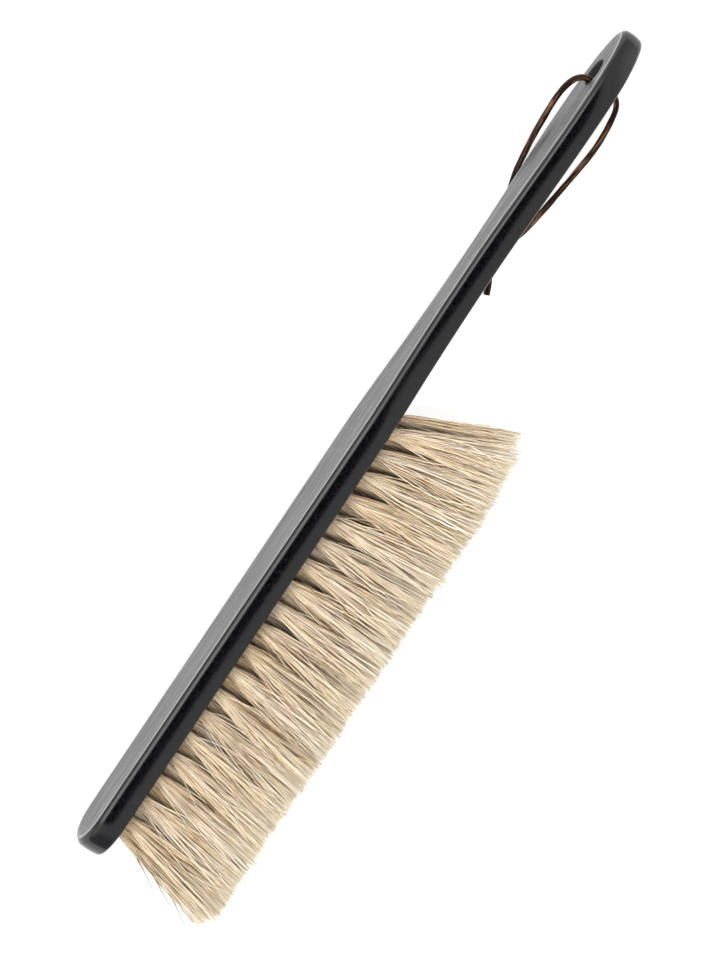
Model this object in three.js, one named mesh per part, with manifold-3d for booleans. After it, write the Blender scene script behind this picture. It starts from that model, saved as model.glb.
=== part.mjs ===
// Pastry brush: a long, narrow bench brush that sweeps flour and brushes pastry. A thin
// black-stained plank is back and handle in one outline. Three rows of light hair tufts are
// drawn with wire into a lower board, a cover board hides the wires, and a leather thong
// through a round hole closes in a knot to hang the brush up.
//
// Millimetres, +Z up. The brush lies on its side, as it rests on a table: +X runs from the
// toe to the hanging end, +Y leaves the back and the hair points to -Y. The origin is under
// the middle of the footprint of the brush, measured without its thong.

import * as THREE from "three";
import { mergeVertices } from "three/addons/utils/BufferGeometryUtils.js";
import Module from "manifold-3d";

const wasm = await Module();
wasm.setup();
const { Manifold, Mesh: SolidMesh } = wasm;

// ---------- driving dimensions ----------

const seatGap = 0.3; // clearance between pieces that touch

// boards, in their thickness (Y)
const coverThickness = 3.3;
const tuftBoardThickness = 5.7;
const backEdgeRound = 2.0;
const soleEdgeRound = 1.0;
const edgeSteps = 3; // flats in each rounding
const endThinning = 0.7; // the cover loses this much from the heel to the hanging end

// tufts
const tuftsInOuterRow = 19;
const tuftPitch = 8.7;
const rowSpacing = 8.2;
const firstOuterTuft = 16.4; // from the toe to the first tuft of an outer row
const tuftRadius = 1.95;
const hairLength = 43.5; // from the sole to the trimmed tips
const strandsAroundTuft = 5; // and one more in the middle
const strandRootRadius = 0.5;
const strandMidRadius = 0.85;
const strandTipRadius = 1.25;
const strandTurn = Math.PI / 6; // which way the three sides of a strand face
const rootClearance = 0.3; // between a strand and the rim of the bound root
const tipClearance = 0.15; // between the tips of neighbouring tufts
const trimUnevenness = 0.9; // how far the trimmed ends differ
const strandBendDown = 0.45; // a strand's middle ring, as shares of its length and of its fan
const strandBendOut = 0.4;
const tuftCollar = 0.8; // the bound root shows this far out of the sole
const strandInCollar = 0.9; // a strand starts this deep in the bound root
const toeLean = -9.5; // degrees, negative towards the toe
const heelLean = 17;
const leanPower = 2.6; // the lean changes slowly at the toe and fast at the heel
const heelTrim = 3.6; // the splayed hair at the heel ends this much higher
const heelTrimFrom = 0.88; // share of the field where that begins
const holeFit = 0.05; // a tuft hole is this much wider than its seat asks
const holeUnderGroove = 0.02; // a hole is this much narrower than its groove

// wire groove on the back of the tuft board
const grooveDepth = 2.6;
const wireDiameter = 0.7;
const wireDip = 0.6; // the wire dips this far into each tuft's fold
const wireFit = 0.1; // spare depth under the wire

// outline of the plank, as seen on its back
const edgeWood = 2.0; // wood outside the tuft holes at the toe
const toeRound = 13.5;
const heelFlare = 1.7; // the paddle is this much wider, each side, at its heel
const heelWood = 5; // from the paddle's widest place to the last outer tuft
const neckLength = 70; // paddle's widest place to waist
const waistHalfWidth = 9.35;
const gripLength = 59; // waist to the widest place of the hanging end
const endHalfWidth = 13.3;
const endRound = 33;
const outlineSteps = 10; // straight steps in each curve of the outline

// hanging hole and thong
const hangHoleRadius = 5;
const hangHoleFromEnd = 18;
const thongDiameter = 2.1;

// ---------- worked out from them ----------

const thickness = coverThickness + seatGap + tuftBoardThickness;
const backFaceY = thickness / 2;
const soleY = -thickness / 2;
const coverUnderY = backFaceY - coverThickness;
const boardBackY = soleY + tuftBoardThickness;

const tuftHoleRadius = tuftRadius + seatGap + holeFit;
const lastOuterTuft = firstOuterTuft + (tuftsInOuterRow - 1) * tuftPitch;
const toeHalfWidth = rowSpacing + tuftHoleRadius + edgeWood;
const heelHalfWidth = toeHalfWidth + heelFlare;
const heelAt = lastOuterTuft - heelWood;
const waistAt = heelAt + neckLength;
const endSwellAt = waistAt + gripLength;
const brushLength = endSwellAt + endRound;
const hangHoleAt = brushLength - hangHoleFromEnd;
const plankMidZ = heelHalfWidth; // the widest place of the plank rests on the table
const channelDepth = wireDiameter + wireDip + seatGap + wireFit; // in the bed, for the wire

// ---------- solids from geometry ----------

function solidOf(geometry) {
  const bare = geometry.index ? geometry.toNonIndexed() : geometry.clone();
  bare.deleteAttribute("normal");
  bare.deleteAttribute("uv");
  const merged = mergeVertices(bare, 1e-4);
  return new Manifold(
    new SolidMesh({
      numProp: 3,
      vertProperties: merged.attributes.position.array,
      triVerts: new Uint32Array(merged.index.array),
    }),
  );
}

function geometryOf(solid) {
  const mesh = solid.getMesh();
  const geometry = new THREE.BufferGeometry();
  const positions = new Float32Array(mesh.vertProperties);
  geometry.setAttribute("position", new THREE.BufferAttribute(positions, 3));
  geometry.setIndex(new THREE.BufferAttribute(new Uint32Array(mesh.triVerts), 1));
  geometry.computeVertexNormals();
  return geometry;
}

const over = 1; // a cutting body reaches this far past what it cuts

// A block between two heights in Y, larger than the plank in X and Z.
function slab(lowY, highY) {
  const block = new THREE.BoxGeometry(brushLength * 2, highY - lowY, heelHalfWidth * 4);
  block.translate(brushLength / 2, (lowY + highY) / 2, 0);
  return solidOf(block);
}

// A round bar along Y, to cut holes or to stand as a tuft's bound root.
function barAlongY(radius, lowY, highY, x, z, sides) {
  const bar = new THREE.CylinderGeometry(radius, radius, highY - lowY, sides);
  bar.rotateY(Math.PI / sides);
  bar.translate(x, (lowY + highY) / 2, z);
  return solidOf(bar);
}

const slotSteps = 6; // flats in the round end of a slot

// A long slot with round ends, between two heights in Y.
function slotAlongX(fromX, toX, halfWidth, lowY, highY, z) {
  const slot = new THREE.Shape();
  slot.moveTo(fromX, -halfWidth);
  slot.lineTo(toX, -halfWidth);
  slot.absarc(toX, 0, halfWidth, -Math.PI / 2, Math.PI / 2);
  slot.lineTo(fromX, halfWidth);
  slot.absarc(fromX, 0, halfWidth, Math.PI / 2, (3 * Math.PI) / 2);
  const body = new THREE.ExtrudeGeometry(slot, {
    depth: highY - lowY,
    bevelEnabled: false,
    curveSegments: slotSteps,
  });
  body.rotateX(-Math.PI / 2);
  body.translate(0, lowY, z);
  return solidOf(body);
}

// ---------- the plank: one outline, sawn into cover and tuft board ----------

// Each curve runs to [x, half width] by two handles; the other side mirrors it.
// The handles are given as shares of the stretch that a curve spans.
const cornerHandle = 0.6; // a little fuller than an ellipse
const paddleHandles = [0.5, 0.83];
const flareAtFirstHandle = 0.1; // share of the heel's flare
const neckHandles = [0.24, 0.46];
const gripHandles = [0.29, 0.68];
const sideCurves = [
  [
    [0, toeHalfWidth * cornerHandle],
    [toeRound * (1 - cornerHandle), toeHalfWidth],
    [toeRound, toeHalfWidth],
  ],
  [
    [heelAt * paddleHandles[0], toeHalfWidth + heelFlare * flareAtFirstHandle],
    [heelAt * paddleHandles[1], heelHalfWidth],
    [heelAt, heelHalfWidth],
  ],
  [
    [heelAt + neckLength * neckHandles[0], heelHalfWidth],
    [heelAt + neckLength * neckHandles[1], waistHalfWidth],
    [waistAt, waistHalfWidth],
  ],
  [
    [waistAt + gripLength * gripHandles[0], waistHalfWidth],
    [waistAt + gripLength * gripHandles[1], endHalfWidth],
    [endSwellAt, endHalfWidth],
  ],
  [
    [endSwellAt + endRound * cornerHandle, endHalfWidth],
    [brushLength, endHalfWidth * cornerHandle],
    [brushLength, 0],
  ],
];

function plankOutline() {
  const outline = new THREE.Shape();
  outline.moveTo(0, 0);
  let start = [0, 0];
  const backwards = [];
  for (const [first, second, end] of sideCurves) {
    outline.bezierCurveTo(first[0], -first[1], second[0], -second[1], end[0], -end[1]);
    backwards.unshift([second, first, start]);
    start = end;
  }
  for (const [first, second, end] of backwards) {
    outline.bezierCurveTo(first[0], first[1], second[0], second[1], end[0], end[1]);
  }
  return outline;
}

function plankBlank(edgeRound) {
  const round = Math.min(edgeRound, coverThickness, tuftBoardThickness);
  const blank = new THREE.ExtrudeGeometry(plankOutline(), {
    depth: thickness - 2 * round,
    curveSegments: outlineSteps,
    bevelThickness: round,
    bevelSize: round,
    bevelOffset: -round,
    bevelSegments: edgeSteps,
  });
  blank.rotateX(-Math.PI / 2);
  blank.translate(0, soleY + round, 0);
  return solidOf(blank);
}

const hangHoleSides = 28;
const hangHole = barAlongY(
  hangHoleRadius,
  soleY - over,
  backFaceY + over,
  hangHoleAt,
  0,
  hangHoleSides,
);

// The cover is even over the hair; over the handle its back slopes down towards the end.
function coverBoard() {
  const slope = Math.atan2(endThinning, brushLength - heelAt);
  const intoWood = [-Math.sin(slope), -Math.cos(slope), 0];
  const distance = intoWood[0] * heelAt + intoWood[1] * backFaceY;
  const board = plankBlank(backEdgeRound).intersect(slab(coverUnderY, backFaceY + over));
  return board.trimByPlane(intoWood, distance).subtract(hangHole);
}

// ---------- where the tufts stand and how they lean ----------

const rows = [
  { name: "front", z: rowSpacing, count: tuftsInOuterRow, first: firstOuterTuft },
  { name: "centre", z: 0, count: tuftsInOuterRow + 1, first: firstOuterTuft - tuftPitch / 2 },
  { name: "rear", z: -rowSpacing, count: tuftsInOuterRow, first: firstOuterTuft },
];
const fieldStart = firstOuterTuft - tuftPitch / 2;
const fieldEnd = lastOuterTuft + tuftPitch / 2;

// Share of the way along the hair field, 0 at the toe and 1 at its last tuft.
function alongField(x) {
  return Math.max(0, (x - fieldStart) / (fieldEnd - fieldStart));
}

function tipX(rootX) {
  const lean = toeLean + (heelLean - toeLean) * alongField(rootX) ** leanPower;
  return rootX + hairLength * Math.tan(THREE.MathUtils.degToRad(lean));
}

// The hair is trimmed straight, and shortens over the last splayed tufts.
function trimmedLength(rootX) {
  const intoHeel = Math.max(0, alongField(rootX) - heelTrimFrom) / (1 - heelTrimFrom);
  return hairLength - heelTrim * intoHeel * intoHeel;
}

const tuftHoleSides = 10;

function tuftBoard() {
  const blank = plankBlank(soleEdgeRound).intersect(slab(soleY - over, boardBackY));
  let board = blank.subtract(hangHole);
  for (const row of rows) {
    const last = row.first + (row.count - 1) * tuftPitch;
    const floorY = boardBackY - grooveDepth;
    board = board.subtract(
      slotAlongX(row.first, last, tuftHoleRadius, floorY, boardBackY + over, row.z),
    );
    const holes = [];
    for (let i = 0; i < row.count; i++) {
      const x = row.first + i * tuftPitch;
      const radius = tuftHoleRadius - holeUnderGroove;
      holes.push(barAlongY(radius, soleY - over, floorY + over, x, row.z, tuftHoleSides));
    }
    board = board.subtract(Manifold.union(holes));
  }
  return board;
}

// ---------- tuft rows ----------

// A tapering three-sided strand through the given centres, closed at both ends.
function strand(centres, radii, turn) {
  const sides = 3;
  const positions = [];
  centres.forEach((centre, ring) => {
    for (let side = 0; side < sides; side++) {
      const angle = turn + (side * 2 * Math.PI) / sides;
      const x = centre.x + radii[ring] * Math.cos(angle);
      const z = centre.z + radii[ring] * Math.sin(angle);
      positions.push(x, centre.y, z);
    }
  });
  const faces = [[0, 2, 1]];
  for (let ring = 0; ring + 1 < centres.length; ring++) {
    for (let side = 0; side < sides; side++) {
      const a = ring * sides + side;
      const b = ring * sides + ((side + 1) % sides);
      faces.push([a, b, b + sides], [a, b + sides, a + sides]);
    }
  }
  const top = (centres.length - 1) * sides;
  faces.push([top, top + 1, top + 2]);
  const geometry = new THREE.BufferGeometry();
  geometry.setAttribute("position", new THREE.Float32BufferAttribute(positions, 3));
  geometry.setIndex(faces.flat());
  return solidOf(geometry);
}

// Small, repeatable unevenness from 0 to 1, so that the trimmed ends aren't dead level.
function uneven(a, b) {
  const wave = Math.sin(a * 12.9898 + b * 78.233) * 437.585;
  return wave - Math.floor(wave);
}

const boundRootSides = 6;

// One tuft: a bound root and strands that fan out into the tuft's own cell of the trimmed
// face. The fan only stretches the pattern of the roots, so no strand crosses another.
function tuft(row, index) {
  const rootX = row.first + index * tuftPitch;
  const length = trimmedLength(rootX);
  const collarY = soleY - tuftCollar;
  const rootTopY = boardBackY - grooveDepth / 2;
  const pieces = [barAlongY(tuftRadius, collarY, rootTopY, rootX, row.z, boundRootSides)];
  const cellX = (tipX(rootX + tuftPitch / 2) - tipX(rootX - tuftPitch / 2)) / 2;
  const cellZ = (heelHalfWidth - tipClearance) / rows.length;
  const middleX = tipX(rootX);
  const middleZ = (row.z / rowSpacing) * 2 * cellZ;
  const rootRing = tuftRadius - strandRootRadius - rootClearance;
  for (let k = 0; k <= strandsAroundTuft; k++) {
    const angle = ((k + 0.5) * 2 * Math.PI) / strandsAroundTuft;
    const out = k === strandsAroundTuft ? 0 : 1;
    const away = { x: out * Math.cos(angle), z: out * Math.sin(angle) };
    const root = new THREE.Vector3(
      rootX + away.x * rootRing,
      collarY + strandInCollar,
      row.z + away.z * rootRing,
    );
    const tip = new THREE.Vector3(
      middleX + away.x * (cellX - strandTipRadius - tipClearance),
      soleY - length + trimUnevenness * uneven(rootX + row.z, k),
      middleZ + away.z * (cellZ - strandTipRadius),
    );
    const middle = root.clone().lerp(tip, strandBendOut);
    middle.y = THREE.MathUtils.lerp(root.y, tip.y, strandBendDown);
    const radii = [strandRootRadius, strandMidRadius, strandTipRadius];
    pieces.push(strand([root, middle, tip], radii, strandTurn));
  }
  return pieces;
}

// The folds of a row's tufts lie in the groove, set in one bed of glue with a channel for
// the drawing wire along it.
function tuftRow(row) {
  const last = row.first + (row.count - 1) * tuftPitch;
  const bedLowY = boardBackY - grooveDepth + seatGap;
  const bedHalfWidth = tuftHoleRadius - seatGap;
  const pieces = [slotAlongX(row.first, last, bedHalfWidth, bedLowY, boardBackY, row.z)];
  for (let i = 0; i < row.count; i++) {
    pieces.push(...tuft(row, i));
  }
  const channelHalfWidth = wireDiameter / 2 + seatGap;
  const channelFloorY = boardBackY - channelDepth;
  const channelHeight = channelDepth + over;
  const channel = new THREE.BoxGeometry(brushLength, channelHeight, channelHalfWidth * 2);
  channel.translate((row.first + last) / 2, channelFloorY + channelHeight / 2, row.z);
  return Manifold.union(pieces).subtract(solidOf(channel));
}

const wireSides = 4;

// The drawing wire: it dips into the fold of each tuft and rises over the wood between.
function drawingWire(row) {
  const lowY = boardBackY - channelDepth + seatGap + wireDiameter / 2;
  const points = [];
  for (let i = 0; i < row.count; i++) {
    const x = row.first + i * tuftPitch;
    points.push(new THREE.Vector3(x, lowY, row.z));
    if (i + 1 < row.count) {
      points.push(new THREE.Vector3(x + tuftPitch / 2, lowY + wireDip, row.z));
    }
  }
  const path = new THREE.CurvePath();
  for (let i = 0; i + 1 < points.length; i++) {
    path.add(new THREE.LineCurve3(points[i], points[i + 1]));
  }
  return sweep(path, wireDiameter, wireSides, points.length - 1);
}

// ---------- thong ----------

// A round tube along a curve, closed at both ends.
function sweep(path, diameter, sides, steps) {
  const section = new THREE.Shape();
  for (let side = 0; side < sides; side++) {
    const angle = (side * 2 * Math.PI) / sides;
    const x = (diameter / 2) * Math.cos(angle);
    const y = (diameter / 2) * Math.sin(angle);
    if (side === 0) section.moveTo(x, y);
    else section.lineTo(x, y);
  }
  section.closePath();
  return solidOf(new THREE.ExtrudeGeometry(section, { steps, extrudePath: path }));
}

function curveThrough(points) {
  const places = points.map(([x, y, z]) => new THREE.Vector3(x, y, z));
  return new THREE.CatmullRomCurve3(places, false, "centripetal");
}

// Points of the thong: from the toe in X, from the middle of the plank in Y and above the
// table in Z. Each stretch starts half way through the hole and ends at the knot, which lies
// on the table under the lower edge of the grip.
const backStretch = [
  [309.2, 0.15, 13.0],
  [309.2, 3.2, 13.0],
  [308.6, 5.6, 12.8],
  [306.8, 7.5, 12.2],
  [303.4, 8.5, 10.6],
  [298.4, 8.5, 8.2],
  [291.0, 7.5, 5.2],
  [284.1, 6.5, 3.1],
  [276.6, 5.2, 1.7],
  [270.2, 4.0, 1.15],
  [264.2, 2.2, 1.1],
  [258.6, -0.4, 1.1],
  [253.8, -2.6, 1.2],
  [249.8, -4.1, 1.6],
  [246.8, -4.6, 2.0],
];
const soleStretch = [
  [309.2, -0.15, 13.0],
  [309.2, -3.4, 13.0],
  [309.3, -5.6, 12.7],
  [309.0, -8.0, 11.8],
  [306.7, -10.4, 10.0],
  [302.0, -12.2, 7.4],
  [292.6, -13.8, 3.9],
  [281.9, -13.4, 1.9],
  [272.2, -12.4, 1.2],
  [264.1, -11.4, 1.1],
  [256.4, -10.1, 1.15],
  [251.4, -8.6, 1.4],
  [248.4, -7.3, 1.8],
  [246.8, -6.7, 2.0],
];
const knotStrands = [
  [
    [246.5, -4.5, 2.0],
    [243.8, -5.1, 2.2],
    [240.6, -5.9, 1.9],
    [237.2, -7.7, 1.3],
    [234.2, -9.8, 1.1],
    [230.3, -11.5, 1.1],
  ],
  [
    [246.5, -6.8, 2.0],
    [243.8, -6.2, 2.2],
    [240.6, -5.0, 1.7],
    [236.8, -4.4, 1.2],
    [233.0, -4.3, 1.1],
    [229.4, -4.7, 1.1],
  ],
];

// the wrap of the knot round both strands
const wrapTurns = 1.4;
const wrapFrom = 0.4; // radians, from straight out of the back
const wrapStartX = 245.0;
const wrapLength = 2.9;
const wrapMiddle = [-5.6, 2.25]; // Y and Z
const wrapReach = [1.8, 1.15];

const thongSides = 8;
const stretchSteps = 26;
const knotStrandSteps = 6;
const wrapSteps = 14;

function thongStretch(points, steps) {
  return sweep(curveThrough(points), thongDiameter, thongSides, steps);
}

function knotWrap() {
  const points = [];
  for (let step = 0; step <= wrapSteps; step++) {
    const share = step / wrapSteps;
    const angle = wrapFrom + share * wrapTurns * 2 * Math.PI;
    points.push([
      wrapStartX - share * wrapLength,
      wrapMiddle[0] + wrapReach[0] * Math.cos(angle),
      wrapMiddle[1] + wrapReach[1] * Math.sin(angle),
    ]);
  }
  return thongStretch(points, wrapSteps);
}

function knot() {
  const strands = knotStrands.map((points) => thongStretch(points, knotStrandSteps));
  return Manifold.union([...strands, knotWrap()]);
}

// ---------- materials and the scene graph ----------

const stainedWood = { color: 0x1b1b1c, roughness: 0.42, metalness: 0 };
const hair = { color: 0xd9c3a0, roughness: 0.7, metalness: 0 };
const steelWire = { color: 0xa9abad, roughness: 0.35, metalness: 1 };
const leather = { color: 0x3a241a, roughness: 0.6, metalness: 0 };

function piece(name, solid, look) {
  const mesh = new THREE.Mesh(geometryOf(solid), new THREE.MeshStandardMaterial(look));
  mesh.name = name;
  return mesh;
}

// The plank and everything in it, in a group whose middle height is the plank's own.
const plank = new THREE.Group();
plank.position.z = plankMidZ;
plank.add(piece("back_board", coverBoard(), stainedWood));
plank.add(piece("tuft_board", tuftBoard(), stainedWood));
for (const row of rows) {
  plank.add(piece(`${row.name}_tuft_row`, tuftRow(row), hair));
  plank.add(piece(`${row.name}_wire`, drawingWire(row), steelWire));
}

const thong = new THREE.Group();
thong.add(piece("thong_back_stretch", thongStretch(backStretch, stretchSteps), leather));
thong.add(piece("thong_sole_stretch", thongStretch(soleStretch, stretchSteps), leather));
thong.add(piece("thong_knot", knot(), leather));

// The origin stands under the middle of the brush's own footprint.
const brush = new THREE.Group();
brush.add(plank, thong);
plank.updateMatrixWorld(true);
const footprint = new THREE.Box3().setFromObject(plank, true);
const middle = footprint.getCenter(new THREE.Vector3());
brush.position.set(-middle.x, -middle.y, -footprint.min.z);

export default brush;
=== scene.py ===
# A pastry brush for the bench: a thin black-stained plank, three rows of light hair tufts drawn
# into its sole, and a dark leather thong through a hole near its end. It lies on its side.
# Metres, in the frame of the solids: +X from the toe to the hanging end, +Y out of the back.

import math

import bpy
import numpy as np
from mathutils import Matrix, Vector


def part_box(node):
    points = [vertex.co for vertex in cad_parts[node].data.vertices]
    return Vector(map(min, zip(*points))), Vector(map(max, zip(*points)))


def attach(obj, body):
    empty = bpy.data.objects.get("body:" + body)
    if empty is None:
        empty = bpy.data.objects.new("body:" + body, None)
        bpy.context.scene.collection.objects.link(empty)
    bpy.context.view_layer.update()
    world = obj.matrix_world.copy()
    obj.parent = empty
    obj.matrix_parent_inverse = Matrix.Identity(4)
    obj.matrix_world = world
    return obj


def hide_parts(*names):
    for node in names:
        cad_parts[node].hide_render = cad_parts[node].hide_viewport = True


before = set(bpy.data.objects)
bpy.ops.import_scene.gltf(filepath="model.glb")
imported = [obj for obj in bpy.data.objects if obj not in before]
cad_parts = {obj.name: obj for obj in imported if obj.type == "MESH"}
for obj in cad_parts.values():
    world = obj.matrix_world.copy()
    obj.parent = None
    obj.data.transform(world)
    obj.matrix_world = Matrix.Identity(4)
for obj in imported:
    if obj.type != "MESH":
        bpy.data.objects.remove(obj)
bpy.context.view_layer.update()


# ---------- camera ----------
# It looks down on the edge of the brush, 14 degrees over the back of the plank, and is turned
# so that the brush climbs to the upper right, as in the photograph.

MM = 0.001
HALF_THICKNESS = 4.65  # of the plank
HALF_WIDTH = 14.2  # of the plank at its widest, where it rests on the table

board_low, board_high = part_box("back_board")
plank_middle_y = board_high.y - HALF_THICKNESS * MM


def spot(from_toe, off_plank, above_table):
    """A point given in mm: from the toe, off the plank's middle plane, above the table."""
    x = board_low.x + from_toe * MM
    return Vector((x, plank_middle_y + off_plank * MM, above_table * MM))


OVER_BACK = math.radians(14)
CLIMB = math.radians(56.08)
PICTURE_HEIGHT = 0.3232  # metres seen at the brush, from the lower to the upper edge
CAMERA_DISTANCE = 1.7
SENSOR = 24
CLIP_END = 20

look_at = spot(154.3, -7.63, HALF_WIDTH)
down_the_side = Vector((0, -math.cos(OVER_BACK), math.sin(OVER_BACK)))
towards_camera = Vector((0, math.sin(OVER_BACK), math.cos(OVER_BACK)))
along = Vector((1, 0, 0))
right = along * math.cos(CLIMB) + down_the_side * math.sin(CLIMB)
up = along * math.sin(CLIMB) - down_the_side * math.cos(CLIMB)

camera_data = bpy.data.cameras.new("photo_camera")
camera_data.sensor_fit = "VERTICAL"
camera_data.sensor_height = SENSOR
camera_data.lens = SENSOR * CAMERA_DISTANCE / PICTURE_HEIGHT
camera_data.clip_end = CLIP_END
camera = bpy.data.objects.new("photo_camera", camera_data)
turn = Matrix((right, up, towards_camera)).transposed().to_4x4()
camera.matrix_world = Matrix.Translation(look_at + towards_camera * CAMERA_DISTANCE) @ turn
bpy.context.scene.collection.objects.link(camera)
bpy.context.scene.camera = camera


# ---------- thong, the stretch on the back ----------
# A dark brown lace, cut about 2.1 mm square from waxed leather with its corners rubbed round.
# It leaves the hanging hole on the back, bows over the face and comes down behind the waist.

THONG_DIAMETER = 2.1 * MM
THONG_FROM_TOE = 309.2  # where it runs through the hanging hole
THONG_HEIGHT = 13.0
LACE_STEP = 0.7 * MM  # between the rings of a lace
LACE_SIDES = 18
LACE_SQUARENESS = 2.9  # 2 is round
LACE_GIRTH = 0.95  # a little under the full diameter, with two waves that vary it along the lace
THICKER, THICKER_WAVE = 0.022, 900  # share of the girth, radians to a metre
SLACKER, SLACKER_WAVE = 0.02, 370
TWIST, TWIST_WAVE = 0.9, 60  # radians that the square section turns, radians to a metre
DRIFT, DRIFT_WAVE = 0.4, 21
CUT_DEPTH = 0.12 * MM  # a cut end has its rim rubbed this deep
CUT_GIRTH = 0.88


def smooth_line(points, spacing):
    """Points close together on the centripetal curve through the given ones."""
    p = [np.array(q, float) for q in points]
    p = [2 * p[0] - p[1], *p, 2 * p[-1] - p[-2]]
    line = []
    for a, b, c, d in zip(p, p[1:], p[2:], p[3:]):
        t0, t1, t2 = (max(np.linalg.norm(v) ** 0.5, 1e-6) for v in (b - a, c - b, d - c))
        start = ((b - a) / t0 - (c - a) / (t0 + t1) + (c - b) / t1) * t1
        end = ((c - b) / t1 - (d - b) / (t1 + t2) + (d - c) / t2) * t1
        steps = max(2, round(np.linalg.norm(c - b) / spacing))
        for t in np.arange(steps) / steps:
            line.append(
                (2 * t**3 - 3 * t**2 + 1) * b
                + (t**3 - 2 * t**2 + t) * start
                + (3 * t**2 - 2 * t**3) * c
                + (t**3 - t**2) * end
            )
    line.append(p[-2])
    return np.array(line)


def lace(line, seed, cut_end):
    """Vertices, faces and grain coordinates of a lace along a line, its ends closed."""
    rng = np.random.default_rng(seed)
    run = np.concatenate([[0], np.cumsum(np.linalg.norm(np.diff(line, axis=0), axis=1))])
    ahead = np.gradient(line, axis=0)
    ahead /= np.linalg.norm(ahead, axis=1)[:, None]
    across = np.array([0.0, 0.0, 1.0])  # any start that isn't along the lace
    waves = rng.uniform(0, 2 * math.pi, 3)
    angles = np.arange(LACE_SIDES) * 2 * math.pi / LACE_SIDES
    rings = []
    grain = []

    def ring(centre, side, other, radius, at):
        """One rounded square section of the lace."""
        rim = np.abs(np.cos(angles)) ** LACE_SQUARENESS + np.abs(np.sin(angles)) ** LACE_SQUARENESS
        reach = radius * rim ** (-1 / LACE_SQUARENESS)
        u = reach * np.cos(angles)
        v = reach * np.sin(angles)
        rings.append(centre + np.outer(u, side) + np.outer(v, other))
        grain.append(np.stack([np.full(LACE_SIDES, at), u, v], axis=1))

    for i, centre in enumerate(line):
        across = across - ahead[i] * across.dot(ahead[i])
        across /= np.linalg.norm(across)
        above = np.cross(ahead[i], across)
        swing = TWIST * math.sin(run[i] * TWIST_WAVE + waves[0]) + DRIFT * math.sin(run[i] * DRIFT_WAVE)
        side = math.cos(swing) * across + math.sin(swing) * above
        other = np.cross(ahead[i], side)
        thicker = THICKER * math.sin(run[i] * THICKER_WAVE + waves[1])
        slacker = SLACKER * math.sin(run[i] * SLACKER_WAVE + waves[2])
        radius = THONG_DIAMETER / 2 * (LACE_GIRTH + (thicker + slacker))
        if cut_end and i == len(line) - 1:
            ring(centre - ahead[i] * CUT_DEPTH, side, other, radius, run[i])
            ring(centre, side, other, radius * CUT_GIRTH, run[i])
        else:
            ring(centre, side, other, radius, run[i])
    count = len(rings)
    faces = [tuple(range(LACE_SIDES))[::-1]]
    for r in range(count - 1):
        for s in range(LACE_SIDES):
            a = r * LACE_SIDES + s
            b = r * LACE_SIDES + (s + 1) % LACE_SIDES
            faces.append((a, b, b + LACE_SIDES, a + LACE_SIDES))
    faces.append(tuple(range((count - 1) * LACE_SIDES, count * LACE_SIDES)))
    return np.concatenate(rings), faces, np.concatenate(grain)


def mesh_piece(name, vertices, faces, sharp_over=None):
    """A new object from plain arrays, smooth apart from edges sharper than the angle."""
    mesh = bpy.data.meshes.new(name)
    mesh.from_pydata([tuple(v) for v in vertices], [], faces)
    mesh.validate()
    mesh.polygons.foreach_set("use_smooth", [True] * len(mesh.polygons))
    if sharp_over:
        mesh.set_sharp_from_angle(angle=math.radians(sharp_over))
    mesh.update()
    piece = bpy.data.objects.new(name, mesh)
    bpy.context.scene.collection.objects.link(piece)
    return piece


def note_points(piece, name, values):
    """Keeps one number, or one vector, at each point of the piece for its material."""
    values = np.asarray(values, np.float32)
    kind = "FLOAT_VECTOR" if values.ndim == 2 else "FLOAT"
    attribute = piece.data.attributes.new(name, kind, "POINT")
    attribute.data.foreach_set("vector" if values.ndim == 2 else "value", values.ravel())


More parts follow.
